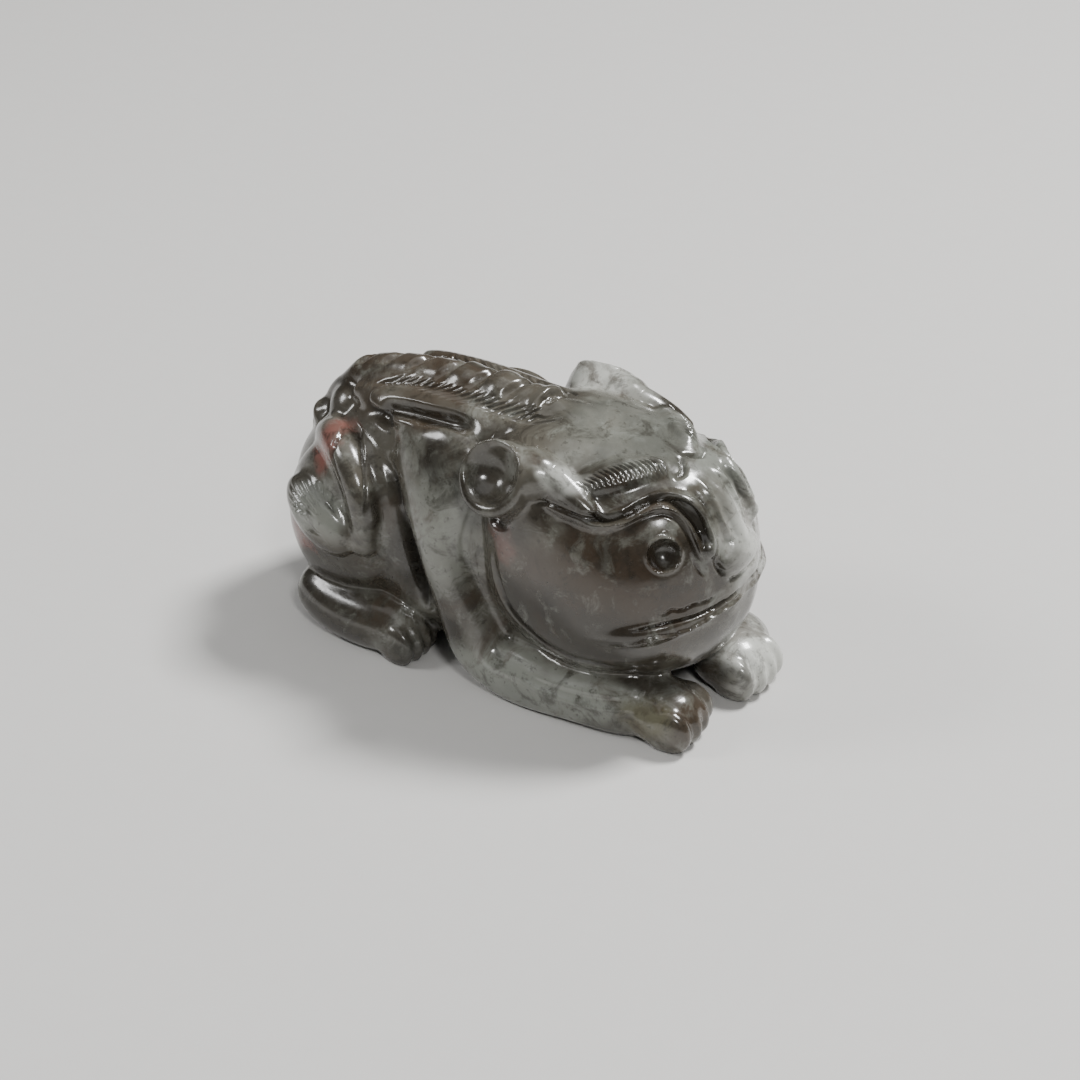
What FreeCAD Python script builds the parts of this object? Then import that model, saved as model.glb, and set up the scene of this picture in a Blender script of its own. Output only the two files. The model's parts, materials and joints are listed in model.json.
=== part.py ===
import FreeCAD, Part
import math
import os

# A small recumbent guardian beast carved from one jade pebble. It lies with its chin on its
# forelegs, its hind legs folded and its tail curled against the right haunch.
#
# Millimetres. +X points to the nose, +Y to the animal's left, +Z up. The origin is the middle of
# the bounding box in plan, on the plane that the carving rests on.
#
# The stone is divided into its carved masses. Each mass is a closed solid of its own, and its
# neighbours are cut to it, so that they meet face to face along the carved grooves.

V = FreeCAD.Vector
SIDE_AXIS = V(0, 1, 0)

# ---- driving dimensions ----

# torso, from the rump to the chest
torso_length = 39.0
torso_width = 19.6
back_height = 28.4
torso_power = 2.1

# ridge of vertebrae along the back
ridge_radius = 2.3
ridge_stand = 1.4
knob_radius = 2.65
knob_pitch = 3.9

# head
head_length = 25.8
head_width = 24.0
head_height = 25.4
chin_height = 3.0

# mouth and jaw
mouth_height = 14.2
mouth_drop = 1.8
mouth_length = 8.0
mouth_gap = 0.35

# nose
nose_width = 7.0
nose_height = 4.4
nose_depth = 3.8
nose_level = 18.2

# ears
ear_radius = 3.8
ear_thickness = 3.4
ear_stand = 2.3
ear_setback = 4.0
ear_level = 24.5
ear_tilt = 30.0
dish_radius = 3.1
dish_depth = 1.1

# eyes
eye_radius = 2.35
eye_ring = 0.45
eye_ring_depth = 0.6
eye_length = 3.0
eye_level = 21.4
eye_setback = 4.7

# eyelid ridge over the eye
lid_length = 14.3
lid_rise = 3.7
lid_radius = 0.85

# tuft of hair over the eyelid
brow_length = 8.8
brow_width = 3.4
brow_thickness = 1.9
brow_setback = 14.0

# forelegs
foreleg_thickness = 6.6
forearm_depth = 6.0
shoulder_width = 10.8
leg_sink = 0.6
leg_power = 2.4

# forepaws
forepaw_length = 9.4
forepaw_width = 7.8
forepaw_height = 6.2
right_paw_offset = 6.9
left_paw_offset = 4.3
left_paw_reach = 1.7

# hind legs
haunch_length = 15.6
haunch_height = 19.4
haunch_thickness = 8.8
shank_radius = 3.3
hindpaw_length = 7.6
hindpaw_width = 5.8
hindpaw_height = 5.8

# toes of every paw
toe_count = 4

# tail
tail_radius = 1.65
tuft_length = 10.0
tuft_height = 6.4
tuft_thickness = 4.4

# combed mane beside the ridge
mane_length = 18.0
mane_height = 5.0
mane_thickness = 2.4

# ---- datums worked out from them ----

nape_x = 0.0
muzzle_x = nape_x + head_length
rump_x = nape_x + 14.0 - torso_length
head_half = head_width / 2
torso_half = torso_width / 2


# ---- shapes that the masses are made of ----

def ring(centre, side, up, half_side, half_up, power=2.0, half_down=None, points=16):
    """A closed smooth section: an ellipse where power is 2, and boxier above that. half_down is
    its depth below the centre where that differs."""
    half_down = half_down or half_up
    corners = []
    for i in range(points):
        angle = 2 * math.pi * i / points
        c = math.cos(angle)
        s = math.sin(angle)
        along_side = math.copysign(abs(c) ** (2 / power), c) * half_side
        along_up = math.copysign(abs(s) ** (2 / power), s) * (half_up if s > 0 else half_down)
        corners.append(centre + side * along_side + up * along_up)
    curve = Part.BSplineCurve()
    curve.interpolate(Points=corners, PeriodicFlag=True)
    return Part.Wire([curve.toShape()])


def limb(stations, power=2.0):
    """A lofted limb with rounded ends. Each station is its centre, its half depth in the limb's
    own plane and its half thickness along Y."""
    centres = [V(*s[:3]) for s in stations]
    sections = []
    last = len(stations) - 1
    for i, (_, _, _, depth, side) in enumerate(stations):
        tangent = centres[min(i + 1, last)] - centres[max(i - 1, 0)]
        sections.append((centres[i], tangent.normalize(), depth, side))
    for end, sign in ((0, -1), (last, 1)):
        centre, tangent, depth, side = sections[end if sign < 0 else -1]
        cap = []
        for angle in (35, 60, 80):
            reach = math.sin(math.radians(angle)) * depth * 0.8
            share = math.cos(math.radians(angle))
            cap.append((centre + tangent * (sign * reach), tangent, depth * share,
                        side * share))
        sections = cap[::-1] + sections if sign < 0 else sections + cap
    wires = []
    for centre, tangent, depth, side in sections:
        across = SIDE_AXIS.cross(tangent).normalize()
        upright = tangent.cross(across).normalize()
        wires.append(ring(centre, upright, across, side, depth, power))
    return Part.makeLoft(wires, True, False)


def barrel(stations, start_x, length, half_width, base_z, height):
    """A body lofted along X. Each station is its share of the length, then its half width, its
    underside, its widest level and its top as shares of the body's own, and its power."""
    wires = []
    for share, half, low, widest, high, power in stations:
        centre = V(start_x + share * length, 0, base_z + widest * height)
        wires.append(ring(centre, SIDE_AXIS, V(0, 0, 1), half * half_width,
                          (high - widest) * height, power, (widest - low) * height))
    return Part.makeLoft(wires, True, False)


def ellipsoid(centre, half_x, half_y, half_z, turn=None):
    """An ellipsoid. turn is a rotation about its own centre."""
    matrix = FreeCAD.Matrix()
    matrix.scale(half_x, half_y, half_z)
    shape = Part.makeSphere(1.0).transformGeometry(matrix)
    shape.Placement = FreeCAD.Placement(V(*centre), turn or FreeCAD.Rotation())
    return shape


def mirrored(shape):
    """The same mass on the animal's left side."""
    return shape.mirror(V(0, 0, 0), SIDE_AXIS)


def solid_of(shape):
    """The largest solid of a cut mass, without slivers."""
    return max(shape.Solids, key=lambda s: s.Volume)


def without(shape, *others):
    """shape with its neighbours cut out of it."""
    return solid_of(shape.cut(list(others)))


def above_ground(shape):
    """shape, cut flat where the carving rests."""
    size = 200.0
    box = Part.makeBox(size, size, size, V(-size / 2, -size / 2, -size))
    return solid_of(shape.cut(box))


# ---- torso and back ----

TORSO_STATIONS = (
    (0.000, 0.16, 0.44, 0.51, 0.58, torso_power),
    (0.016, 0.43, 0.30, 0.47, 0.61, torso_power),
    (0.051, 0.65, 0.16, 0.45, 0.68, torso_power),
    (0.115, 0.82, 0.06, 0.43, 0.765, torso_power),
    (0.231, 0.94, 0.00, 0.42, 0.885, torso_power),
    (0.385, 1.00, -0.03, 0.42, 0.97, torso_power),
    (0.565, 1.00, -0.03, 0.42, 1.00, torso_power),
    (0.750, 0.94, -0.03, 0.38, 0.97, torso_power),
    (0.880, 0.84, -0.03, 0.26, 0.60, torso_power),
    (1.000, 0.66, -0.03, 0.16, 0.36, torso_power),
)


def torso_mass():
    """The barrel of the body, flat underneath."""
    return above_ground(barrel(TORSO_STATIONS, rump_x, torso_length, torso_half, 0,
                               back_height))


def ridge_line():
    """Points on the ridge's centreline, from the tail's root to the nape."""
    sink = ridge_radius - ridge_stand
    return [V(rump_x + share * torso_length, 0, high * back_height - sink)
            for share, _, _, _, high, _ in TORSO_STATIONS[2:8]]


def along(points, distance):
    """The point that lies distance along a line through points."""
    for a, b in zip(points, points[1:]):
        step = (b - a).Length
        if distance <= step or b is points[-1]:
            return a + (b - a).normalize() * distance
        distance -= step


def ridge_mass():
    """A rounded ridge that swells into a knob at each vertebra."""
    line = ridge_line()
    length = sum((b - a).Length for a, b in zip(line, line[1:]))
    count = int(length / knob_pitch)
    stations = []
    for i in range(2 * count + 1):
        p = along(line, i * length / (2 * count))
        radius = knob_radius if i % 2 else ridge_radius
        stations.append((p.x, p.y, p.z, radius, radius))
    return limb(stations)


# ---- head ----

HEAD_STATIONS = (
    (0.000, 0.42, 0.36, 0.62, 0.875, 2.5),
    (0.047, 0.70, 0.20, 0.59, 0.94, 2.8),
    (0.155, 0.87, 0.08, 0.56, 0.985, 3.0),
    (0.310, 0.95, 0.02, 0.47, 1.00, 2.7),
    (0.484, 1.00, 0.00, 0.40, 0.99, 2.4),
    (0.659, 0.97, 0.03, 0.39, 0.96, 2.2),
    (0.775, 0.87, 0.06, 0.40, 0.925, 2.1),
    (0.860, 0.73, 0.10, 0.42, 0.87, 2.1),
    (0.922, 0.575, 0.155, 0.43, 0.77, 2.1),
    (0.969, 0.38, 0.235, 0.43, 0.645, 2.1),
    (1.000, 0.18, 0.32, 0.43, 0.54, 2.0),
)


def head_side(x, z):
    """How far the cheek's surface is from the head's middle plane at x and z."""
    share = min(max((x - nape_x) / head_length, 0), 1)
    for a, b in zip(HEAD_STATIONS, HEAD_STATIONS[1:]):
        if share <= b[0]:
            t = (share - a[0]) / (b[0] - a[0])
            break
    half, low, widest, high, power = (a[k] + (b[k] - a[k]) * t for k in range(1, 6))
    level = (z - chin_height) / head_height
    reach = high - widest if level > widest else widest - low
    lift = min(abs(level - widest) / reach, 0.97)
    return half * head_half * (1 - lift ** power) ** (1 / power)


def on_cheek(x, z):
    """The point of the right cheek's surface at x and z."""
    return V(x, -head_side(x, z), z)


def off_cheek(x, z):
    """The direction that the right cheek faces at x and z."""
    step = 0.2
    along_x = on_cheek(x + step, z) - on_cheek(x - step, z)
    along_z = on_cheek(x, z + step) - on_cheek(x, z - step)
    return along_x.cross(along_z).normalize()


def head_mass():
    return barrel(HEAD_STATIONS, nape_x, head_length, head_half, chin_height, head_height)


def jaw_block(raised=0):
    """The space in front of the mouth's corner and below its line, which rises to the front."""
    corner_x = muzzle_x - mouth_length
    reach = head_width
    outline = [
        V(corner_x, -reach, mouth_height - mouth_drop + raised),
        V(muzzle_x, -reach, mouth_height + raised),
        V(muzzle_x + reach, -reach, mouth_height + raised),
        V(muzzle_x + reach, -reach, 0),
        V(corner_x - 1, -reach, 0),
    ]
    face = Part.Face(Part.makePolygon(outline + outline[:1]))
    return face.extrude(V(0, 2 * reach, 0))


def nose_mass():
    """A broad blunt nose on the end of the muzzle."""
    return ellipsoid((muzzle_x - nose_depth * 0.37, 0, nose_level), nose_depth / 2,
                     nose_width / 2, nose_height / 2, FreeCAD.Rotation(SIDE_AXIS, 25))


def ear_mass():
    """A round cupped ear, with a stem that runs forward from it into the brow."""
    x = nape_x + ear_setback
    angle = math.radians(ear_tilt)
    facing = V(-0.1, -math.cos(angle), math.sin(angle)).normalize()
    face_centre = on_cheek(x, ear_level) + facing * ear_stand
    disc = Part.makeCylinder(ear_radius, ear_thickness, face_centre - facing * ear_thickness,
                             facing)
    disc = disc.makeFillet(0.5, [disc.Edges[0]])
    stations = []
    for ahead, rise, radius in ((0.6, 1.2, 2.5), (1.25, 1.1, 2.0), (1.9, 0.6, 1.3)):
        p = on_cheek(x + ahead * ear_radius, ear_level + rise)
        stations.append((p.x, p.y, p.z, radius, radius))
    ball_radius = (dish_radius ** 2 + dish_depth ** 2) / (2 * dish_depth)
    ball = Part.makeSphere(ball_radius, face_centre + facing * (ball_radius - dish_depth))
    return solid_of(disc.fuse(limb(stations)).cut(ball))


def eye_place():
    """The middle of the right eye on the cheek, and the way that it was drilled."""
    place = on_cheek(muzzle_x - eye_setback, eye_level)
    return place, V(0.1, -0.88, 0.46).normalize()


def eye_mass():
    """The plug inside the drilled ring, with a dished face."""
    place, facing = eye_place()
    plug = Part.makeCylinder(eye_radius - eye_ring, 2 * eye_length,
                             place - facing * eye_length, facing)
    dish = Part.makeSphere(3.2, place + facing * 2.9)
    return solid_of(plug.common(head_mass()).cut(dish))


def eye_socket():
    """What the tube drill takes out of the head: the ring around the eye."""
    place, facing = eye_place()
    start = place - facing * eye_ring_depth
    outer = Part.makeCylinder(eye_radius, 6, start, facing)
    inner = Part.makeCylinder(eye_radius - eye_ring, 6, start, facing)
    return outer.cut(inner)


def lid_mass():
    """The eyelid's ridge: from the ear's stem, over the eye and down beside the nose."""
    eye, _ = eye_place()
    bends = (
        (-0.79, 0.73),
        (-0.60, 0.59),
        (-0.42, 0.51),
        (-0.31, 0.65),
        (-0.21, 0.86),
        (-0.14, 1.00),
        (-0.05, 1.00),
        (0.05, 0.81),
        (0.13, 0.38),
        (0.20, -0.27),
    )
    stations = []
    for ahead, rise in bends:
        p = on_cheek(eye.x + ahead * lid_length, eye.z + rise * lid_rise)
        stations.append((p.x, p.y, p.z, lid_radius, lid_radius))
    return limb(stations)


def brow_mass():
    """A leaf-shaped tuft of hair, which slants up to the forehead's middle."""
    middle_x = muzzle_x - brow_setback + brow_length * 0.35
    middle = on_cheek(middle_x, chin_height + 0.93 * head_height)
    normal = off_cheek(middle.x, middle.z)
    slant = V(1, 0, 0).cross(normal).cross(normal).negative()
    heading = (slant + normal.cross(slant).normalize() * 0.9).normalize()
    turn = FreeCAD.Rotation(heading, V(), normal, "XZY")
    return ellipsoid((middle.x, middle.y, middle.z), brow_length / 2, brow_width / 2,
                     brow_thickness / 2, turn)


# ---- legs ----

def foreleg_mass():
    """Shoulder blade, upper arm, elbow and forearm of the right foreleg."""
    half = foreleg_thickness / 2
    y = -(head_half - half)
    depth = forearm_depth / 2
    floor = depth - leg_sink
    blade = shoulder_width / 2
    stations = [
        (nape_x - 4.6, y + 2.0, 0.79 * back_height, blade, half * 0.78),
        (nape_x - 3.7, y + 1.0, 0.66 * back_height, blade * 0.80, half * 0.90),
        (nape_x - 2.8, y + 0.3, 0.51 * back_height, blade * 0.52, half),
        (nape_x - 0.7, y, 0.33 * back_height, depth * 0.92, half),
        (nape_x + 1.6, y, floor + 1.8, depth * 1.02, half),
        (nape_x + 4.8, y, floor + 0.2, depth * 1.02, half),
        (nape_x + 9.5, y, floor, depth, half),
        (nape_x + 14.5, y + 0.4, floor + 0.2, depth * 1.05, half),
        (nape_x + 18.5, y + 1.2, floor + 0.3, depth * 1.08, half * 0.98),
    ]
    return above_ground(limb(stations, leg_power))


def paw(length, width, height, sink):
    """A paw pointing along +X, with its middle over the origin and its sole at z 0: a rounded
    pad with a row of blunt toes."""
    pad = ellipsoid((-length * 0.06, 0, height / 2 - sink), length * 0.44, width / 2,
                    height / 2)
    toes = []
    toe_half = width / toe_count * 0.62
    for i in range(toe_count):
        across = 2 * i / (toe_count - 1) - 1
        y = across * (width / 2 - toe_half)
        x = length * (0.20 - abs(across) * 0.06)
        toes.append(ellipsoid((x, y, height * 0.42 - sink), length * 0.28, toe_half,
                              height * 0.42))
    return above_ground(pad.fuse(toes))


def placed(shape, x, y, heading):
    """A paw set down at x, y and turned heading degrees about the vertical."""
    shape = shape.copy()
    shape.Placement = FreeCAD.Placement(V(x, y, 0), FreeCAD.Rotation(V(0, 0, 1), heading))
    return shape


def haunch_mass():
    """The folded thigh."""
    return ellipsoid((rump_x + haunch_length * 0.63, -torso_half * 0.70,
                      haunch_height * 0.66),
                     haunch_length / 2, haunch_thickness / 2, haunch_height / 2,
                     FreeCAD.Rotation(SIDE_AXIS, 12))


def shank_mass():
    """The lower hind leg, flat on the ground."""
    r = shank_radius
    z = r - leg_sink
    y = -(torso_half - 0.7)
    return above_ground(limb([
        (rump_x + 6.2, y + 1.0, z + 0.8, r * 0.92, r * 0.94),
        (rump_x + 9.0, y + 0.3, z + 0.2, r, r),
        (rump_x + 12.0, y, z, r, r),
        (rump_x + 15.5, y, z, r * 0.92, r * 0.92),
    ]))


# ---- tail and mane ----

def tail_mass():
    """The tail's root and its curl against the right haunch."""
    r = tail_radius
    y = -(torso_half + 0.6)
    return limb([
        (rump_x + 4.2, -1.8, 0.64 * back_height, r * 1.25, r * 1.25),
        (rump_x + 6.4, y * 0.52, 0.72 * back_height, r * 1.2, r * 1.2),
        (rump_x + 9.4, y * 0.78, 0.74 * back_height, r * 1.1, r * 1.1),
        (rump_x + 12.0, y * 0.94, 0.68 * back_height, r, r),
        (rump_x + 13.4, y, 0.57 * back_height, r, r),
        (rump_x + 13.2, y, 0.44 * back_height, r * 0.95, r * 0.95),
    ])


def tuft_mass():
    """The bushy end of the tail, which flares back and up from the curl."""
    turn = FreeCAD.Rotation(V(0, 0, 1), -14).multiply(FreeCAD.Rotation(SIDE_AXIS, 30))
    return ellipsoid((rump_x + 8.0, -(torso_half + 0.7), 0.50 * back_height),
                     tuft_length / 2, tuft_thickness / 2, tuft_height / 2, turn)


def mane_mass():
    """A panel of combed hair between the ridge and the shoulder, a flat spindle along the back."""
    lean = math.radians(40)
    across = V(0, math.cos(lean), math.sin(lean))
    outward = V(0, -math.sin(lean), math.cos(lean))
    wires = []
    for share in (-0.97, -0.85, -0.5, 0.0, 0.5, 0.85, 0.97):
        fullness = math.sqrt(1 - share ** 2)
        centre = V(nape_x - 5.6 + share * mane_length / 2, -(ridge_radius + 2.6),
                   back_height - 2.2)
        wires.append(ring(centre, across, outward, fullness * mane_height / 2,
                          fullness * mane_thickness / 2))
    return Part.makeLoft(wires, True, False)


# ---- assembly ----

def build():
    """Every mass as a closed solid by its node name."""
    forepaw = paw(forepaw_length, forepaw_width, forepaw_height, leg_sink)
    hindpaw = paw(hindpaw_length, hindpaw_width, hindpaw_height, leg_sink)
    forepaw_x = muzzle_x - forepaw_length * 0.48
    right_forepaw = placed(forepaw, forepaw_x, -right_paw_offset, 6)
    left_forepaw = placed(forepaw, forepaw_x + left_paw_reach, left_paw_offset, -4)
    right_hindpaw = placed(hindpaw, rump_x + 16.5, -(torso_half - 0.5), -4)

    right_eye = eye_mass()
    right_brow = brow_mass()
    right_ear = ear_mass()
    nose = nose_mass()
    right_eyelid = without(lid_mass(), right_eye, eye_socket(), right_ear, right_brow, nose)

    foreleg = foreleg_mass()
    far_foreleg = mirrored(foreleg)
    right_foreleg = without(foreleg, right_forepaw, right_ear)
    left_foreleg = without(far_foreleg, left_forepaw, mirrored(right_ear))

    features = [right_eye, right_brow, right_ear, right_eyelid]
    features += [mirrored(f) for f in features]
    features += [nose, eye_socket(), mirrored(eye_socket())]
    legs = [foreleg, far_foreleg, right_forepaw, left_forepaw]
    head_whole = head_mass().cut(features + legs)
    head = solid_of(head_whole.cut(jaw_block(mouth_gap)))
    lower_jaw = solid_of(head_whole.common(jaw_block()))

    tail_tuft = tuft_mass()
    tail = without(tail_mass(), tail_tuft)
    shank = shank_mass()
    right_shank = without(shank, right_hindpaw)
    haunch = haunch_mass()
    folded_leg = [shank, right_hindpaw, foreleg]
    right_haunch = without(haunch, tail, tail_tuft, *folded_leg)

    ridge = ridge_mass()
    spine_ridge = without(ridge, head_mass(), tail)
    mane = mane_mass()
    right_mane = without(mane, ridge, head_mass(), right_ear, foreleg)

    masses = {
        "head": head,
        "lower_jaw": lower_jaw,
        "nose": nose,
        "spine_ridge": spine_ridge,
        "tail": tail,
        "tail_tuft": tail_tuft,
        "right_foreleg": right_foreleg,
        "left_foreleg": left_foreleg,
        "right_forepaw": right_forepaw,
        "left_forepaw": left_forepaw,
        "right_haunch": right_haunch,
        "left_haunch": mirrored(without(haunch, *folded_leg)),
        "right_shank": right_shank,
        "right_hindpaw": right_hindpaw,
        "right_ear": right_ear,
        "right_brow": right_brow,
        "right_eyelid": right_eyelid,
        "right_eye": right_eye,
        "right_mane": right_mane,
    }
    for name in ("shank", "hindpaw", "ear", "brow", "eyelid", "eye", "mane"):
        masses["left_" + name] = mirrored(masses["right_" + name])
    near = [foreleg, haunch, shank, right_hindpaw, mane, right_ear]
    around = [head_mass(), ridge, tail_mass(), tail_tuft, right_forepaw, left_forepaw]
    masses["torso"] = without(torso_mass(), *around, *near, *[mirrored(m) for m in near])
    return masses


def main():
    masses = build()
    box = Part.makeCompound(list(masses.values())).optimalBoundingBox(False, False)
    to_origin = V(-(box.XMin + box.XMax) / 2, -(box.YMin + box.YMax) / 2, -box.ZMin)
    os.makedirs("parts", exist_ok=True)
    for name, shape in masses.items():
        shape = shape.copy()
        shape.translate(to_origin)
        shape.exportStep(f"parts/{name}.step")
        print(f"{name:15s} {shape.Volume:9.1f} mm3  valid {shape.isValid()}"
              f"  solids {len(shape.Solids)}")
    print("moved by", to_origin, "size", box.XLength, box.YLength, box.ZLength)


main()
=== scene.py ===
import json
import math

import bpy
import numpy as np
from mathutils import Euler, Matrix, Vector
from mathutils.bvhtree import BVHTree
from mathutils.kdtree import KDTree

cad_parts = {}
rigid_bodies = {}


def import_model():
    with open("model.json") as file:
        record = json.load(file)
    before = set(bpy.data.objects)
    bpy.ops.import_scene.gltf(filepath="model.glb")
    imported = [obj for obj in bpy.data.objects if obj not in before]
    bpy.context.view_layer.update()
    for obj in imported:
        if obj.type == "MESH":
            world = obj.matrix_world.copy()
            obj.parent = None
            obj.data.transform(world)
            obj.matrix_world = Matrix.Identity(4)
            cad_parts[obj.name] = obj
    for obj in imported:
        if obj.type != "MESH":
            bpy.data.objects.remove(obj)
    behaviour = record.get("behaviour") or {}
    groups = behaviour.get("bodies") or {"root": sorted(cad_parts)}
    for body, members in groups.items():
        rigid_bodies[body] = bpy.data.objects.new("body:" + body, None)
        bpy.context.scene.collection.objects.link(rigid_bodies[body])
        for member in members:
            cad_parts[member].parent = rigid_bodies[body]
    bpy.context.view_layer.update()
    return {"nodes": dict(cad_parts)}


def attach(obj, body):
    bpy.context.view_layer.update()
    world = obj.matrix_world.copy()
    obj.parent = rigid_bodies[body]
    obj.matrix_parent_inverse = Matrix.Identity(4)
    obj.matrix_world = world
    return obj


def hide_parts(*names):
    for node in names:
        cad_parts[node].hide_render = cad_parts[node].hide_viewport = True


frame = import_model()
mm = 0.001
scene = bpy.context.scene

# The carving is one stone. It is grown from the frame's solids, given its carved detail all in
# one go, and only then sawn into the named masses, so that no groove breaks at a seam.
# Places are in millimetres in the frame's axes: nose at +x, the animal's right at -y.


# ---- workshop helpers ----

def pickOnly(*pieces):
    for other in bpy.context.view_layer.objects:
        other.select_set(False)
    for piece in pieces:
        piece.hide_set(False)
        piece.select_set(True)
    bpy.context.view_layer.objects.active = pieces[0]


def applyModifier(piece, kind, **settings):
    pickOnly(piece)
    modifier = piece.modifiers.new(kind.lower(), kind)
    for key, value in settings.items():
        setattr(modifier, key, value)
    bpy.ops.object.modifier_apply(modifier=modifier.name)


def bakePlace(piece):
    pickOnly(piece)
    bpy.ops.object.transform_apply(location=True, rotation=True, scale=True)


def copyOfNode(node, name):
    # a loose copy of a frame solid, merged into a closed mesh
    source = frame["nodes"][node]
    piece = bpy.data.objects.new(name, source.data.copy())
    scene.collection.objects.link(piece)
    pickOnly(piece)
    bpy.ops.object.mode_set(mode="EDIT")
    bpy.ops.mesh.select_all(action="SELECT")
    bpy.ops.mesh.remove_doubles(threshold=0.001 * mm)
    bpy.ops.object.mode_set(mode="OBJECT")
    return piece


def addLump(place, size, turn=(0, 0, 0)):
    # a pebble-shaped lump: full sizes along its own axes, then turned
    bpy.ops.mesh.primitive_uv_sphere_add(segments=40, ring_count=24, radius=0.5,
                                         location=[c * mm for c in place])
    lump = bpy.context.object
    lump.scale = [s * mm for s in size]
    lump.rotation_euler = Euler([math.radians(a) for a in turn])
    bakePlace(lump)
    return lump


def addRope(points, radii):
    # a round strand through given points, with its own radius at each
    curve = bpy.data.curves.new("strand", "CURVE")
    curve.dimensions = "3D"
    curve.bevel_depth = mm
    curve.bevel_resolution = 8
    curve.use_fill_caps = True
    spline = curve.splines.new("NURBS")
    spline.points.add(len(points) - 1)
    for spot, place, radius in zip(spline.points, points, radii):
        spot.co = (*[c * mm for c in place], 1)
        spot.radius = radius
    spline.order_u = 3
    spline.use_endpoint_u = True
    spline.resolution_u = 8
    strand = bpy.data.objects.new("strand", curve)
    scene.collection.objects.link(strand)
    pickOnly(strand)
    bpy.ops.object.convert(target="MESH")
    return bpy.context.object


def otherSide(points):
    return [(x, -y, z) for x, y, z in points]


def bothSides(place, turn=(0, 0, 0)):
    x, y, z = place
    rx, ry, rz = turn
    return [(place, turn), ((x, -y, z), (-rx, ry, -rz))]


# ---- the stone, grown from the frame's masses ----

stone = {
    "roughVoxel": 0.26,      # first union of the masses
    "fineVoxel": 0.17,       # the skin that takes the carving
    "softening": 9,          # smoothing rounds that melt the masses together
    "sanding": 3,            # smoothing rounds on the finer skin
    "fineReach": 1.3,        # how far the split faces reach round fine work
}

# lumps added on both sides: place, full size, turn
lumps = [
    # smooth knob at the inner end of the brow
    ((16.7, -2.0, 26.1), (3.8, 3.8, 2.4), (0, 25, 0)),
    # the eyes are drilled later, so their sockets are filled first
    ((19.2, -6.5, 20.5), (3.3, 8.8, 8.8), (0, -17, -50)),
    # flat of the shoulder, up to the hair
    ((-6.4, -5.0, 21.6), (13.0, 6.4, 10.4), (0, 8, 0)),
    # tip of the nose
    ((23.7, -1.0, 19.0), (2.6, 2.8, 2.8), (0, 0, 0)),
    # back of each forepaw, which leaves only the ends of the toes apart
    ((19.8, -7.0, 2.9), (8.4, 7.2, 5.2), (0, 0, 6)),
]

# lumps that the stone has once
loneLumps = [
    # combed hair, a smooth slope from the ridge of the back down to its lower edge
    ((-6.5, -3.1, 25.5), (23.5, 7.2, 3.8), (40, -3, 0)),
    ((-6.5, -1.5, 26.6), (25.0, 5.0, 4.0), (28, -3, 0)),
    ((-6.5, 3.0, 25.2), (22.0, 6.8, 3.4), (-42, -3, 0)),
    # end of the ridge, run out over the skull
    ((6.0, 0.0, 26.7), (10.0, 6.0, 4.2), (0, 6, 0)),
    # rump, where the ridge turns into the root of the tail
    ((-19.4, -1.2, 21.4), (6.0, 7.0, 7.0), (0, -20, 0)),
]

# added strands: points and their radii
strands = [
    # the ridge of the back, which leaves only shallow dips between the vertebrae
    ([(-24.8, 0, 17.0), (-24.2, 0, 20.6), (-21.4, 0, 24.2), (-15.5, 0, 26.4), (-9.0, 0, 27.2),
      (-2.0, 0, 27.6), (4.0, 0, 27.3), (8.0, 0, 26.4)], [1.0, 1.5, 1.9, 2.2, 2.3, 2.3, 2.1, 1.2]),
    # the bridge of the nose
    ([(19.0, 0, 25.2), (21.0, 0, 24.2), (22.6, 0, 22.0), (23.5, 0, 19.6)], [1.0, 1.2, 1.3, 1.3]),
    # far paw, pushed out past the near one
    ([(17.0, 6.0, 2.8), (20.0, 5.0, 2.9), (23.4, 4.4, 2.6)], [2.6, 2.9, 2.2]),
]

# strands added on both sides
pairedStrands = [
    # stem that runs from the ear's cup into the eyelid
    ([(4.6, -7.6, 26.0), (7.2, -8.2, 26.0), (9.6, -8.6, 25.4), (11.6, -9.2, 24.6),
      (13.4, -9.3, 23.8)], [1.9, 1.9, 1.6, 1.2, 0.7]),
    # lower edge of the combed hair, from the tail to the ear
    ([(-18.5, -2.6, 24.5), (-15.0, -3.3, 25.7), (-9.0, -3.8, 26.1), (-2.0, -4.0, 26.4),
      (4.0, -4.0, 26.8)], [1.0, 1.3, 1.4, 1.4, 0.9]),
    # lips, closed up before the mouth is cut
    ([(14.4, -11.0, 11.7), (16.6, -10.9, 12.5), (19.0, -9.9, 13.0), (21.5, -7.6, 13.6),
      (23.4, -4.3, 14.0), (24.1, 0.0, 14.1)], [0.9, 1.1, 1.3, 1.2, 0.9, 0.7]),
    # edge of the thigh, beside the deep groove
    ([(-13.4, -6.2, 22.2), (-12.0, -7.8, 20.0), (-11.2, -8.7, 17.0), (-11.4, -8.8, 12.5)],
     [0.8, 1.1, 1.2, 0.8]),
]


def growStone():
    masses = [copyOfNode(node, "mass_" + node) for node in sorted(frame["nodes"])
              if not node.endswith("_eye")]
    for place, size, turn in lumps:
        for sidePlace, sideTurn in bothSides(place, turn):
            masses.append(addLump(sidePlace, size, sideTurn))
    for place, size, turn in loneLumps:
        masses.append(addLump(place, size, turn))
    for points, radii in strands:
        masses.append(addRope(points, radii))
    for points, radii in pairedStrands:
        masses.append(addRope(points, radii))
        masses.append(addRope(otherSide(points), radii))
    pickOnly(*masses)
    bpy.ops.object.join()
    body = bpy.context.object
    body.name = "stone"
    applyModifier(body, "REMESH", mode="VOXEL", voxel_size=stone["roughVoxel"] * mm)
    applyModifier(body, "SMOOTH", factor=0.5, iterations=stone["softening"])
    return body


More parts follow.
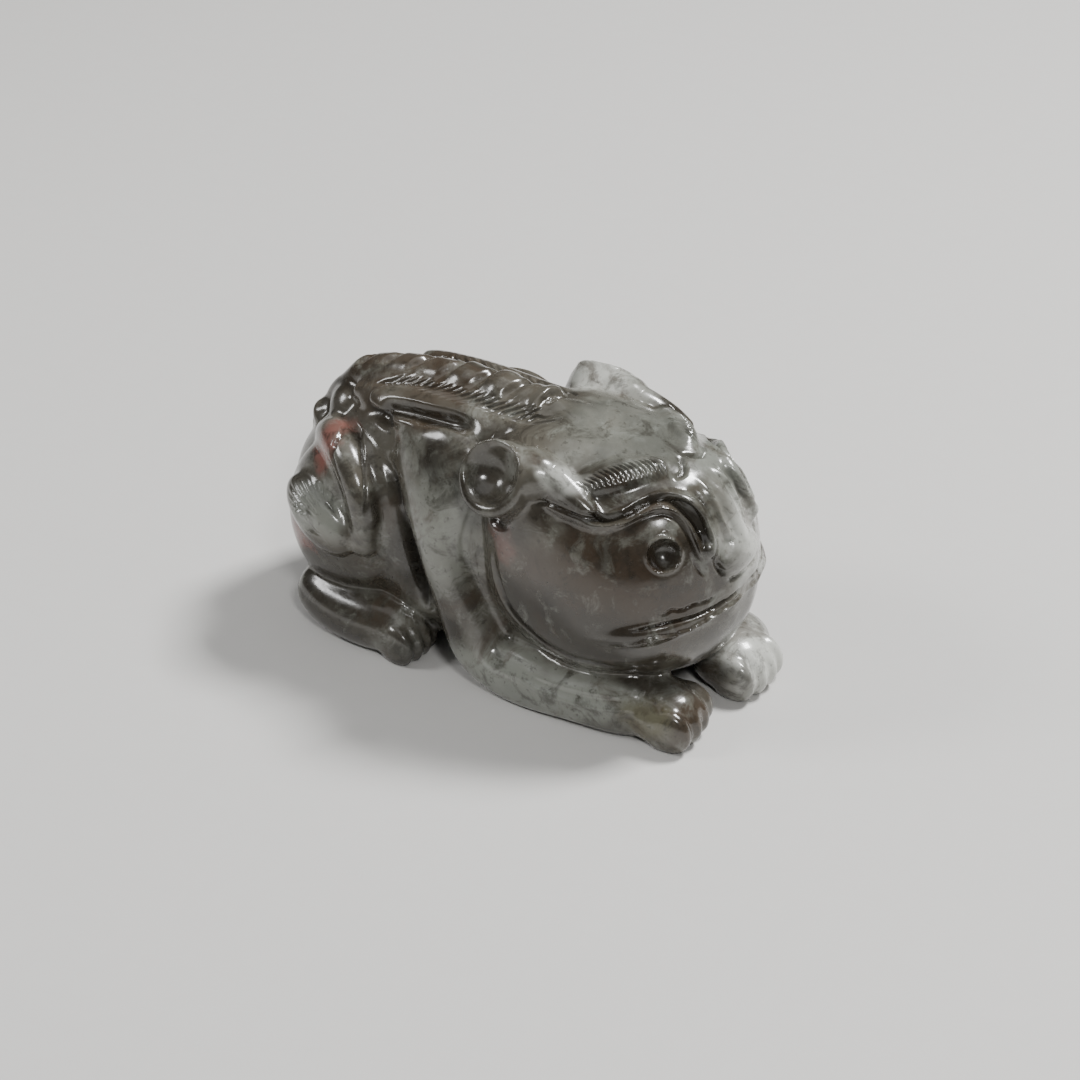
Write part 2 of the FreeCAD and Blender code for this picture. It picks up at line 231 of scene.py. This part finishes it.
def biggestShell(body):
    # drops the crumbs that a union can leave inside
    pickOnly(body)
    bpy.ops.object.mode_set(mode="EDIT")
    bpy.ops.mesh.separate(type="LOOSE")
    bpy.ops.object.mode_set(mode="OBJECT")
    shells = sorted(bpy.context.selected_objects, key=lambda o: -len(o.data.vertices))
    for crumb in shells[1:]:
        bpy.data.objects.remove(crumb)
    pickOnly(shells[0])
    return shells[0]


# ---- carving ----

def readSkin(body):
    count = len(body.data.vertices)
    co = np.zeros(count * 3)
    body.data.vertices.foreach_get("co", co)
    no = np.zeros(count * 3)
    body.data.vertex_normals.foreach_get("vector", no)
    return co.reshape(-1, 3) / mm, no.reshape(-1, 3)


def writeSkin(body, co):
    body.data.vertices.foreach_set("co", (co * mm).ravel())
    body.data.update()


def smoothLine(points, step=0.25):
    # a smooth line through given points, in short even steps
    p = np.array(points, float)
    if len(p) == 2:
        p = np.array([p[0], (p[0] + p[1]) / 2, p[1]])
    ext = np.vstack([2 * p[0] - p[1], p, 2 * p[-1] - p[-2]])
    line = []
    for i in range(1, len(ext) - 2):
        a, b, c, d = ext[i - 1], ext[i], ext[i + 1], ext[i + 2]
        steps = max(2, int(np.linalg.norm(c - b) / step))
        for k in range(steps):
            t = k / steps
            line.append(0.5 * (2 * b + (c - a) * t + (2 * a - 5 * b + 4 * c - d) * t * t
                               + (3 * b - a - 3 * c + d) * t ** 3))
    line.append(ext[-2])
    return np.array(line)


class Chisel:
    # holds the skin while strokes are cut into it, and the painted shade that darkens the cuts
    def __init__(self, body):
        self.body = body
        self.co, self.no = readSkin(body)
        self.start = self.co.copy()
        # painted shade for each point, growing with the depth cut there
        self.cut = np.zeros(len(self.co))
        self.tree = BVHTree.FromObject(body, bpy.context.evaluated_depsgraph_get())

    def onSkin(self, points):
        line = smoothLine(points)
        return np.array([self.tree.find_nearest(Vector(p * mm))[0] for p in line]) / mm

    def stroke(self, points, width, depth, taper=0.2, edge=1.0, soil=1.0):
        # cuts a groove of that width along the line; a negative depth raises a ridge.
        # edge below 1 gives it steeper walls and a flatter floor
        line = self.onSkin(points)
        half = width / 2
        near = np.all((self.start > line.min(0) - half) & (self.start < line.max(0) + half), axis=1)
        index = np.where(near)[0]
        if not len(index):
            return
        p = self.start[index]
        best = np.full(len(p), 1e9)
        where = np.zeros(len(p))
        for i in range(len(line) - 1):
            a = line[i]
            ab = line[i + 1] - a
            t = np.clip(((p - a) @ ab) / max(ab @ ab, 1e-9), 0, 1)
            d = np.linalg.norm(p - a - t[:, None] * ab, axis=1)
            closer = d < best
            best[closer] = d[closer]
            where[closer] = (i + t[closer]) / (len(line) - 1)
        inside = best < half
        index, best, where = index[inside], best[inside], where[inside]
        ends = np.clip(np.minimum(where, 1 - where) / max(taper, 1e-6), 0, 1)
        ends = ends * ends * (3 - 2 * ends)
        fall = np.clip((1 - best / half) / edge, 0, 1)
        fall = fall * fall * (3 - 2 * fall)
        amount = depth * fall * ends
        self.co[index] -= self.no[index] * amount[:, None]
        # painted shade in the groove, darker where it is cut deeper
        self.cut[index] += np.maximum(amount, 0) * soil

    def pair(self, points, *args, **kwargs):
        # the same stroke on the other side of the animal
        self.stroke(points, *args, **kwargs)
        self.stroke(otherSide(points), *args, **kwargs)

    def bowl(self, place, axis, radius, depth, rim=0.0, rimWidth=0.3, soil=0.25):
        # a round dish ground with a ball burr, with a thin raised rim
        spot, _, _, _ = self.tree.find_nearest(Vector([c * mm for c in place]))
        spot = np.array(spot) / mm
        axis = np.array(axis, float) / np.linalg.norm(axis)
        rel = self.start - spot
        high = rel @ axis
        r = np.linalg.norm(rel - high[:, None] * axis, axis=1)
        near = (r < radius + 3 * rimWidth) & (np.abs(high) < radius + 1.5)
        dish = depth * np.maximum(1 - (r / radius) ** 2, 0) ** 0.8
        raised = rim * np.exp(-((r - radius - 0.6 * rimWidth) / rimWidth) ** 2)
        self.co[near] += (raised - dish)[near, None] * axis
        # painted shade in the dish, darker toward its deepest point
        self.cut[near] += dish[near] * soil

    def finish(self):
        writeSkin(self.body, self.co)
        # the painted shade of the cuts is stored as the 'cut' attribute for the jade
        shade = self.body.data.attributes.new("cut", "FLOAT", "POINT")
        shade.data.foreach_set("value", self.cut.astype(np.float32))


def refineNear(body, lines, reach):
    # splits the faces that lie near fine work, so that the strokes come out crisp
    spots = np.vstack([smoothLine(line, 0.6) for line in lines])
    tree = KDTree(len(spots))
    for i, spot in enumerate(spots):
        tree.insert(Vector(spot), i)
    tree.balance()
    co, _ = readSkin(body)
    close = np.array([tree.find(Vector(c))[2] < reach for c in co])
    body.data.vertices.foreach_set("select", close)
    faces = body.data.polygons
    chosen = [all(close[v] for v in f.vertices) for f in faces]
    faces.foreach_set("select", chosen)
    edges = body.data.edges
    edges.foreach_set("select", [False] * len(edges))
    pickOnly(body)
    bpy.ops.object.mode_set(mode="EDIT")
    bpy.context.tool_settings.mesh_select_mode = (False, False, True)
    bpy.ops.mesh.subdivide(number_cuts=1, smoothness=0.0)
    bpy.ops.object.mode_set(mode="OBJECT")


# eyelid: a deep groove under a rounded upper edge, with a fine raised line below it
eyelid = {
    "groove": [(12.2, -10.2, 24.0), (14.0, -9.6, 24.0), (15.7, -8.8, 24.5), (16.6, -7.6, 25.1),
               (17.5, -6.4, 25.7), (18.7, -5.6, 25.8), (20.0, -5.0, 25.2), (21.4, -4.5, 23.9),
               (22.4, -4.6, 22.6), (23.2, -4.7, 20.8)],
    "line": [(15.1, -9.6, 23.6), (16.3, -8.8, 24.0), (17.2, -7.7, 24.6), (18.2, -6.6, 25.0),
             (19.0, -5.7, 24.8), (20.1, -5.2, 24.1), (21.1, -5.1, 23.0), (22.0, -5.2, 21.7),
             (22.7, -5.2, 20.2)],
    "tail": [(6.6, -10.3, 23.3), (8.2, -10.3, 24.2), (9.5, -10.5, 24.3), (12.2, -10.3, 23.9),
             (14.0, -9.8, 23.7)],
}

# tuft of hair over the lid: strokes that fall toward the nose
brow = {
    "roots": [(10.5, -8.7, 26.0), (11.2, -7.7, 26.8), (12.0, -6.5, 27.4), (13.0, -5.3, 27.8),
              (14.0, -4.1, 27.9), (15.0, -3.1, 27.8)],
    "tips": [(12.1, -8.8, 25.4), (13.5, -7.8, 26.1), (14.9, -6.6, 26.6), (16.2, -5.4, 26.8),
             (17.1, -4.3, 26.7), (17.7, -3.3, 26.5)],
    "strokes": 17,
    "width": 0.38,
    "depth": 0.22,
}


def betweenLines(top, bottom, count):
    # pairs of points spread evenly along two given lines
    a = smoothLine(top, 0.1)
    b = smoothLine(bottom, 0.1)
    for k in range(count):
        t = k / (count - 1)
        yield a[int(t * (len(a) - 1))], b[int(t * (len(b) - 1))]


def carveFace(chisel):
    chisel.pair(eyelid["groove"], 1.5, 1.0, taper=0.14, edge=0.5)
    chisel.pair(eyelid["line"], 0.42, -0.32, taper=0.1)
    chisel.pair([(x - 0.2, y - 0.2, z - 0.85) for x, y, z in eyelid["line"]], 0.9, 0.22,
                taper=0.25, soil=0.3)
    chisel.pair(eyelid["tail"], 0.7, 0.3, taper=0.25)
    for root, tip in betweenLines(brow["roots"], brow["tips"], brow["strokes"]):
        chisel.pair([root, (root + tip) / 2 + (0.3, 0.25, 0.3), tip], brow["width"], brow["depth"],
                    taper=0.45)
    # crease round the knob at the inner end of the brow
    chisel.pair([(16.9, -0.2, 27.2), (18.0, -0.9, 26.8), (18.5, -2.0, 26.4), (18.1, -3.2, 26.3)],
                0.9, 0.45, taper=0.35)
    # the side of the nose, from the brow down to the nostril
    chisel.pair([(19.4, -2.6, 26.0), (20.9, -2.9, 24.7), (21.9, -3.2, 23.0), (22.9, -3.4, 21.0)],
                1.5, 0.45, taper=0.35)
    chisel.pair([(19.2, -1.2, 26.2), (21.0, -1.5, 24.8), (22.6, -1.6, 22.6), (23.6, -1.3, 20.6),
                 (24.4, -0.8, 19.4)], 1.3, -0.35, taper=0.3)
    chisel.pair([(21.8, -6.0, 21.0), (22.5, -5.8, 19.3), (23.1, -4.9, 17.9)], 0.6, 0.16, taper=0.4)
    chisel.pair([(23.4, -3.9, 19.8), (24.0, -3.6, 18.2), (24.5, -2.8, 17.6)], 1.0, 0.5, taper=0.4)
    chisel.pair([(24.5, -3.2, 17.0), (24.9, -1.8, 16.7), (25.0, 0.0, 16.6)], 0.8, 0.3, taper=0.3)
    # mouth: the cut between the lips, then the fine lines on both lips
    chisel.pair([(17.3, -10.8, 12.9), (19.0, -10.2, 13.5), (20.5, -9.1, 14.0), (21.8, -7.6, 14.2),
                 (23.0, -5.9, 14.4), (24.1, -3.9, 14.7), (24.7, -1.9, 14.9), (24.8, 0.0, 15.0)],
                0.5, 0.35, taper=0.2, edge=0.8, soil=0.35)
    chisel.pair([(17.0, -10.9, 12.2), (19.0, -10.3, 12.8), (20.5, -9.2, 13.2), (21.8, -7.7, 13.4),
                 (23.0, -6.0, 13.7), (24.1, -4.0, 13.9), (24.7, -2.0, 14.1), (24.8, 0.0, 14.1)],
                0.5, -0.3, taper=0.1, edge=0.7)
    chisel.pair([(20.0, -9.4, 15.7), (20.7, -8.9, 15.2), (21.3, -8.4, 15.6), (22.0, -7.7, 15.4),
                 (22.7, -6.8, 15.7), (23.5, -5.4, 15.6), (24.1, -3.9, 16.0)],
                0.5, 0.2, taper=0.2, soil=0.4)


eye = {
    "place": (19.8, -7.6, 20.9),
    "axis": (0.60, -0.74, 0.30),
    "radius": 1.62,
    "depth": 1.35,
}

ear = {
    "place": (2.7, -10.0, 25.7),
    "axis": (0.0, -0.86, 0.51),
    "radius": 3.1,
    "depth": 1.2,
    "under": [(-0.6, -8.6, 28.6), (-1.6, -9.4, 26.0), (-1.5, -9.9, 23.0), (0.2, -10.6, 20.9),
              (2.8, -11.0, 20.1), (5.6, -11.0, 21.2)],
}


def drill(chisel, hole, **settings):
    x, y, z = hole["place"]
    ax, ay, az = hole["axis"]
    for side in (1, -1):
        chisel.bowl((x, y * side, z), (ax, ay * side, az), hole["radius"], hole["depth"],
                    **settings)


def drillHoles(chisel):
    drill(chisel, eye, rim=0.2, rimWidth=0.15, soil=0.45)
    drill(chisel, ear, rim=0.12, rimWidth=0.4)
    chisel.pair(ear["under"], 1.5, 0.8, taper=0.3)


# hair combed back from the neck: long strokes that climb forward from its lower edge
mane = {
    "edge": [(-16.0, -3.4, 25.4), (-10.8, -4.2, 27.0), (-5.0, -4.3, 27.5), (1.8, -4.2, 27.9)],
    "sweep": (3.7, 2.3, 1.2),
    "strokes": 20,
    "width": 0.62,
    "depth": 0.24,
}

flank = {
    # deep groove between the thigh and the shoulder
    "groove": [(-12.4, -7.4, 22.4), (-10.5, -8.8, 20.4), (-9.4, -9.6, 17.6), (-8.7, -9.9, 14.5),
               (-7.8, -9.9, 11.0), (-7.0, -9.8, 7.5), (-6.4, -9.6, 4.5)],
    # hollow under the hair, over the shoulder
    "hollow": [(-16.4, -4.8, 24.2), (-11.0, -5.4, 25.8), (-6.0, -5.5, 26.2), (-1.6, -5.8, 26.6)],
}

vertebrae = {
    "first": 3.2,
    "pitch": 3.9,
    "count": 7,
}


def carveBack(chisel):
    for k in range(vertebrae["count"]):
        x = vertebrae["first"] - k * vertebrae["pitch"]
        chisel.stroke([(x + 0.7, 2.4, 28.4), (x + 0.3, 0.4, 30.0), (x - 0.2, -1.2, 29.6),
                       (x - 1.0, -2.7, 28.4)], 1.7, 0.55, taper=0.35, soil=0.5)
    chisel.pair(flank["hollow"], 2.6, 1.1, taper=0.25, soil=0.9)
    chisel.pair(flank["groove"], 2.0, 0.9, taper=0.2, soil=0.6)
    chisel.pair(flank["groove"][2:], 4.4, 1.4, taper=0.3, soil=0.5)
    # the ridge sinks toward the root of the tail
    chisel.stroke([(-25.2, 0, 17.0), (-25.2, 0, 20.5), (-23.4, 0, 24.0), (-19.5, 0, 26.8)],
                  6.5, 0.9, taper=0.3, soil=0)
    line = smoothLine(mane["edge"], 0.1)
    sweep = np.array(mane["sweep"])
    for k in range(mane["strokes"]):
        low = line[int(k / (mane["strokes"] - 1) * (len(line) - 1))]
        chisel.stroke([low, low + sweep * 0.5, low + sweep], mane["width"], mane["depth"],
                      taper=0.35)
        chisel.stroke(otherSide([low, low + sweep * 0.3, low + sweep * 0.6]), mane["width"],
                      mane["depth"], taper=0.35)


# tail laid against the right thigh, with a leaf-shaped brush at its end
tail = {
    "grooves": [
        [(-17.4, -5.0, 23.0), (-15.4, -7.0, 22.8), (-13.6, -9.0, 21.3), (-12.6, -10.6, 19.0),
         (-12.2, -11.3, 16.0)],
        [(-18.6, -6.0, 22.0), (-16.6, -8.4, 21.2), (-14.8, -10.2, 19.6), (-13.6, -11.3, 17.0)],
    ],
    "brushTip": (-13.5, -12.2, 13.2),
    "brushEdge": [(-16.6, -10.9, 18.0), (-18.4, -10.7, 18.6), (-20.6, -10.4, 18.2),
                  (-21.8, -10.6, 16.8), (-21.4, -11.4, 15.0), (-19.6, -12.2, 13.6)],
    "strokes": 15,
}


def carveTail(chisel):
    for line in tail["grooves"]:
        chisel.stroke(line, 0.7, 0.35, taper=0.25)
    edge = smoothLine(tail["brushEdge"], 0.1)
    tip = np.array(tail["brushTip"])
    for k in range(tail["strokes"]):
        end = edge[int(k / (tail["strokes"] - 1) * (len(edge) - 1))]
        chisel.stroke([tip + (end - tip) * 0.4, tip + (end - tip) * 0.7 + (0, -0.3, 0.1), end],
                      0.5, 0.22, taper=0.35)


# folds of the forearm, and the deep line where the cheek rests on it
limbFolds = {
    "cheek": [(2.2, -10.8, 18.0), (2.4, -11.3, 14.0), (4.0, -11.7, 10.6), (7.5, -11.6, 8.4),
              (11.4, -10.9, 7.7), (15.0, -10.5, 7.9), (18.4, -9.2, 8.0)],
    "forearm": [(5.0, -11.6, 4.6), (7.4, -11.9, 3.6), (11.0, -11.8, 3.3), (15.2, -11.2, 3.4),
                (19.6, -10.2, 4.2)],
}


def carveLimbs(chisel):
    chisel.pair(limbFolds["cheek"], 1.5, 0.6, taper=0.3)
    line = limbFolds["forearm"]
    chisel.pair(line, 0.9, -0.22, taper=0.25)
    chisel.pair([(x, y, z + 0.9) for x, y, z in line], 1.4, 0.22, taper=0.3, soil=0.3)


def carveStone(body):
    hair = np.array(mane["edge"])
    sweep = np.array(mane["sweep"])
    # the fine work of both sides is split more finely before it is cut
    fine = [eyelid["groove"], eyelid["line"], brow["roots"], brow["tips"], hair,
            hair + sweep * 0.5, hair + sweep]
    fine += [otherSide(line) for line in fine]
    refineNear(body, fine, stone["fineReach"])
    chisel = Chisel(body)
    carveFace(chisel)
    drillHoles(chisel)
    carveBack(chisel)
    carveTail(chisel)
    carveLimbs(chisel)
    chisel.finish()


body = growStone()
applyModifier(body, "REMESH", mode="VOXEL", voxel_size=stone["fineVoxel"] * mm)
applyModifier(body, "SMOOTH", factor=0.5, iterations=stone["sanding"])
body = biggestShell(body)
print("stone grown:", len(body.data.vertices), "points")
carveStone(body)
print("stone carved:", len(body.data.vertices), "points")


# ---- jade ----

jade = {
    "grey": (0.092, 0.084, 0.067),
    "deep": (0.022, 0.018, 0.012),
    "brown": (0.050, 0.034, 0.021),
    "pale": (0.285, 0.300, 0.265),
    "milk": (0.640, 0.650, 0.600),
    "russet": (0.220, 0.075, 0.060),
    "olive": (0.120, 0.110, 0.060),
    "roughness": 0.20,
    "ior": 1.62,
    "coat": 0.25,
    "coatRoughness": 0.05,
    "coatIor": 1.5,
    "bump": 0.17,
    "bumpHeight": 0.0002,
    "drift": 0.007,          # how far the borders of the patches wander, in metres
}


def makeJade(name):
    material = bpy.data.materials.new(name)
    material.use_nodes = True
    tree = material.node_tree
    shader = tree.nodes["Principled BSDF"]
    link = tree.links.new
    place = tree.nodes.new("ShaderNodeTexCoord").outputs["Object"]

    def noise(scale, detail=4.0, rough=0.55, warp=0.0, source=None):
        node = tree.nodes.new("ShaderNodeTexNoise")
        node.inputs["Scale"].default_value = scale
        node.inputs["Detail"].default_value = detail
        node.inputs["Roughness"].default_value = rough
        node.inputs["Distortion"].default_value = warp
        link(source or place, node.inputs["Vector"])
        return node

    def spread(value, low, high, toLow=0.0, toHigh=1.0):
        node = tree.nodes.new("ShaderNodeMapRange")
        node.interpolation_type = "SMOOTHSTEP"
        node.inputs["From Min"].default_value = low
        node.inputs["From Max"].default_value = high
        node.inputs["To Min"].default_value = toLow
        node.inputs["To Max"].default_value = toHigh
        link(value, node.inputs["Value"])
        return node.outputs["Result"]

    def times(a, b):
        node = tree.nodes.new("ShaderNodeMath")
        node.operation = "MULTIPLY"
        link(a, node.inputs[0])
        if isinstance(b, float):
            node.inputs[1].default_value = b
        else:
            link(b, node.inputs[1])
        return node.outputs[0]

    def mix(factor, under, over):
        node = tree.nodes.new("ShaderNodeMix")
        node.data_type = "RGBA"
        link(factor, node.inputs["Factor"])
        for socket, colour in ((node.inputs[6], under), (node.inputs[7], over)):
            if isinstance(colour, tuple):
                socket.default_value = (*colour, 1)
            else:
                link(colour, socket)
        return node.outputs[2]

    # borders of the colour patches wander with the grain of the stone
    drift = noise(170, 3, 0.6)
    centred = tree.nodes.new("ShaderNodeVectorMath")
    centred.operation = "SUBTRACT"
    link(drift.outputs["Color"], centred.inputs[0])
    centred.inputs[1].default_value = (0.5, 0.5, 0.5)
    small = tree.nodes.new("ShaderNodeVectorMath")
    small.operation = "SCALE"
    link(centred.outputs[0], small.inputs[0])
    small.inputs["Scale"].default_value = jade["drift"]
    moved = tree.nodes.new("ShaderNodeVectorMath")
    moved.operation = "ADD"
    link(place, moved.inputs[0])
    link(small.outputs[0], moved.inputs[1])

    def patch(centre, radii, inner=0.45, outer=1.15):
        away = tree.nodes.new("ShaderNodeVectorMath")
        away.operation = "SUBTRACT"
        link(moved.outputs[0], away.inputs[0])
        away.inputs[1].default_value = [c * mm for c in centre]
        scaled = tree.nodes.new("ShaderNodeVectorMath")
        scaled.operation = "DIVIDE"
        link(away.outputs[0], scaled.inputs[0])
        scaled.inputs[1].default_value = [r * mm for r in radii]
        size = tree.nodes.new("ShaderNodeVectorMath")
        size.operation = "LENGTH"
        link(scaled.outputs[0], size.inputs[0])
        return spread(size.outputs["Value"], outer, inner)

    # cloudy body of the stone
    clouds = noise(120, 5, 0.6, 0.3).outputs["Fac"]
    colour = mix(spread(clouds, 0.34, 0.62), jade["deep"], jade["grey"])
    fog = noise(230, 4, 0.6, 0.2).outputs["Fac"]
    colour = mix(times(spread(fog, 0.50, 0.74), 0.35), colour, jade["pale"])

    # where the pebble's colour changes
    for tone, strength, centre, radii in jadePatches:
        colour = mix(times(patch(centre, radii), strength), colour, jade[tone])

    # grey smoke that drifts through all of it, then brown stains and fine dark flecks
    smoke = noise(330, 6, 0.7, 0.5).outputs["Fac"]
    colour = mix(times(spread(smoke, 0.52, 0.68), 0.32), colour, jade["pale"])
    dusk = noise(260, 6, 0.7, 0.6).outputs["Color"]
    dark = tree.nodes.new("ShaderNodeSeparateColor")
    link(dusk, dark.inputs[0])
    colour = mix(times(spread(dark.outputs["Green"], 0.50, 0.64), 0.6), colour, jade["deep"])
    stain = noise(150, 6, 0.7, 0.8).outputs["Fac"]
    colour = mix(times(spread(stain, 0.52, 0.66), 0.6), colour, jade["brown"])
    flecks = noise(1100, 3, 0.7, 0.2).outputs["Fac"]
    colour = mix(times(spread(flecks, 0.58, 0.70), 0.5), colour, jade["deep"])

    # painted shade in the cuts and hollows, darker where the chisel went deeper
    cut = tree.nodes.new("ShaderNodeAttribute")
    cut.attribute_name = "cut"
    colour = mix(spread(cut.outputs["Fac"], 0.03, 0.55, 0.0, 0.6), colour, jade["deep"])
    link(colour, shader.inputs["Base Color"])

    shine = noise(900, 3, 0.6).outputs["Fac"]
    link(spread(shine, 0.3, 0.7, jade["roughness"] - 0.05, jade["roughness"] + 0.07),
         shader.inputs["Roughness"])
    shader.inputs["IOR"].default_value = jade["ior"]
    shader.inputs["Coat Weight"].default_value = jade["coat"]
    shader.inputs["Coat Roughness"].default_value = jade["coatRoughness"]
    shader.inputs["Coat IOR"].default_value = jade["coatIor"]

    polish = noise(380, 5, 0.6)
    bump = tree.nodes.new("ShaderNodeBump")
    bump.inputs["Strength"].default_value = jade["bump"]
    bump.inputs["Distance"].default_value = jade["bumpHeight"]
    link(polish.outputs["Fac"], bump.inputs["Height"])
    link(bump.outputs["Normal"], shader.inputs["Normal"])
    return material


# colour patches: tone, strength, centre, radii
jadePatches = [
    ("brown", 0.90, (14, -9, 17), (13, 8, 8)),
    ("deep", 0.85, (12, -11, 11), (13, 6, 6)),
    ("brown", 0.80, (14, 9, 17), (12, 7, 8)),
    ("deep", 0.70, (11, 12, 11), (11, 5, 6)),
    ("deep", 0.85, (-17, 0, 6), (13, 15, 10)),
    ("brown", 0.60, (-13, 0, 27), (14, 8, 5)),
    ("pale", 0.45, (-4, -11, 18), (5, 4, 9)),
    ("milk", 0.75, (24, 4, 20), (5, 7, 8)),
    ("pale", 0.60, (19, 5, 25), (6, 7, 4)),
    ("pale", 0.30, (11, 0, 28), (8, 8, 3)),
    ("milk", 0.55, (8, -8.5, 26.5), (5, 2.4, 2.0)),
    ("milk", 0.60, (4, 10, 27), (5, 5, 4)),
    ("milk", 0.80, (24, 5, 3), (6, 6, 5)),
    ("pale", 0.70, (8, -12, 3), (16, 4, 5)),
    ("pale", 0.60, (-18.5, -12, 15.5), (4.5, 3, 3.6)),
    ("russet", 0.80, (-18.0, -7.2, 20.8), (2.4, 4, 4.4)),
    ("russet", 0.60, (-21.5, -10, 10.5), (3.6, 4, 1.8)),
    ("russet", 0.30, (3.5, -10.5, 18.5), (2.2, 2, 2.2)),
    ("brown", 0.75, (24.5, -8, 3.5), (2.8, 4, 4)),
    ("olive", 0.65, (20, -10, 2.5), (3.0, 4, 2.0)),
]

slots = ["jade_grey", "jade_pale", "jade_russet"]
finishes = {name: makeJade(name + "_stone") for name in slots}
print("jade mixed")


# ---- sawing the stone into its masses ----

slotOf = {"left_forepaw": "jade_pale", "right_ear": "jade_pale", "left_ear": "jade_pale",
          "tail_tuft": "jade_pale", "tail": "jade_russet", "right_haunch": "jade_russet"}

saw = {
    "voxel": 0.30,
    # mass to cut, and how far its saw cut stands off the frame's solid
    "order": [("right_eye", 0.35), ("left_eye", 0.35), ("right_brow", 0.3), ("left_brow", 0.3),
              ("right_ear", 0.3), ("left_ear", 0.3), ("right_eyelid", 0.4), ("left_eyelid", 0.4),
              ("nose", 0.3), ("right_forepaw", 0.3), ("left_forepaw", 0.3),
              ("right_foreleg", 0.35), ("left_foreleg", 0.35), ("lower_jaw", 0.4), ("head", 0.9),
              ("tail_tuft", 0.35), ("tail", 0.35), ("right_hindpaw", 0.3), ("left_hindpaw", 0.3),
              ("right_shank", 0.35), ("left_shank", 0.35), ("right_haunch", 0.4),
              ("left_haunch", 0.4), ("spine_ridge", 0.35), ("right_mane", 0.35),
              ("left_mane", 0.35)],
}


def dress(piece, node):
    slotName = slotOf.get(node, "jade_grey")
    piece.data.materials.clear()
    piece.data.materials.append(finishes[slotName])
    pickOnly(piece)
    bpy.ops.object.shade_smooth_by_angle(angle=math.radians(60))
    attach(piece, "root")
    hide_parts(node)


def sawStone(body):
    for node, stand in saw["order"]:
        cutter = copyOfNode(node, "saw_" + node)
        applyModifier(cutter, "REMESH", mode="VOXEL", voxel_size=saw["voxel"] * mm)
        applyModifier(cutter, "DISPLACE", strength=stand * mm, mid_level=0.0)
        piece = bpy.data.objects.new("stone_" + node, body.data.copy())
        scene.collection.objects.link(piece)
        applyModifier(piece, "BOOLEAN", operation="INTERSECT", solver="MANIFOLD", object=cutter)
        applyModifier(body, "BOOLEAN", operation="DIFFERENCE", solver="MANIFOLD", object=cutter)
        bpy.data.objects.remove(cutter)
        dress(piece, node)
    body.name = "stone_torso"
    dress(body, "torso")


sawStone(body)
print("stone sawn")


# ---- floor, light, camera ----

studio = {
    "floor": (0.62, 0.61, 0.59),
    "floorSize": 6.0,
    "floorRoughness": 0.6,
    "sky": (0.78, 0.80, 0.82),
    "skyStrength": 0.12,
    "lampAim": (0.0, 0.0, 0.012),
    "aim": (1.386, 0.0, 12.0),
    "azimuth": 32.0,
    "elevation": 33.0,
    "distance": 272.0,
    "lens": 90.0,
}

# lamps: name, place and side in metres, power
lamps = [
    # the key stands high behind and to the right, as a window would
    ("key_window", (0.16, 0.26, 0.46), 0.12, 4.6),
    ("front_window", (0.30, -0.30, 0.42), 0.08, 1.2),
    ("left_window", (-0.34, -0.22, 0.34), 0.14, 1.0),
    ("top_fill", (0.0, 0.0, 0.80), 0.7, 1.0),
]


def layFloor():
    bpy.ops.mesh.primitive_plane_add(size=studio["floorSize"], location=(0, 0, 0))
    floor = bpy.context.object
    floor.name = "floor"
    bakePlace(floor)
    paper = bpy.data.materials.new("pale_paper")
    paper.use_nodes = True
    tree = paper.node_tree
    shader = tree.nodes["Principled BSDF"]
    grain = tree.nodes.new("ShaderNodeTexNoise")
    grain.inputs["Scale"].default_value = 400
    tint = tree.nodes.new("ShaderNodeMix")
    tint.data_type = "RGBA"
    tint.inputs[6].default_value = (*studio["floor"], 1)
    tint.inputs[7].default_value = (*[c * 0.97 for c in studio["floor"]], 1)
    tree.links.new(tree.nodes.new("ShaderNodeTexCoord").outputs["Object"], grain.inputs["Vector"])
    tree.links.new(grain.outputs["Fac"], tint.inputs["Factor"])
    tree.links.new(tint.outputs[2], shader.inputs["Base Color"])
    shader.inputs["Roughness"].default_value = studio["floorRoughness"]
    floor.data.materials.append(paper)


def addLight(name, place, size, power):
    light = bpy.data.lights.new(name, "AREA")
    light.shape = "SQUARE"
    light.size = size
    light.energy = power
    lamp = bpy.data.objects.new(name, light)
    scene.collection.objects.link(lamp)
    lamp.location = place
    away = Vector(place) - Vector(studio["lampAim"])
    lamp.rotation_euler = away.to_track_quat("Z", "Y").to_euler()


def setCamera():
    az = math.radians(studio["azimuth"])
    el = math.radians(studio["elevation"])
    back = Vector((math.cos(el) * math.sin(az), -math.cos(el) * math.cos(az), math.sin(el)))
    lens = bpy.data.cameras.new("camera")
    lens.lens = studio["lens"]
    lens.sensor_width = 36.0
    lens.clip_start = 0.01
    lens.clip_end = 20.0
    camera = bpy.data.objects.new("camera", lens)
    scene.collection.objects.link(camera)
    aim = Vector(studio["aim"]) * mm
    camera.location = aim + back * studio["distance"] * mm
    camera.rotation_euler = back.to_track_quat("Z", "Y").to_euler()
    scene.camera = camera


def addSky():
    world = bpy.data.worlds.new("studio")
    scene.world = world
    world.use_nodes = True
    background = world.node_tree.nodes["Background"]
    background.inputs["Color"].default_value = (*studio["sky"], 1)
    background.inputs["Strength"].default_value = studio["skyStrength"]


layFloor()
for lamp in lamps:
    addLight(*lamp)
addSky()
setCamera()
print("studio set")
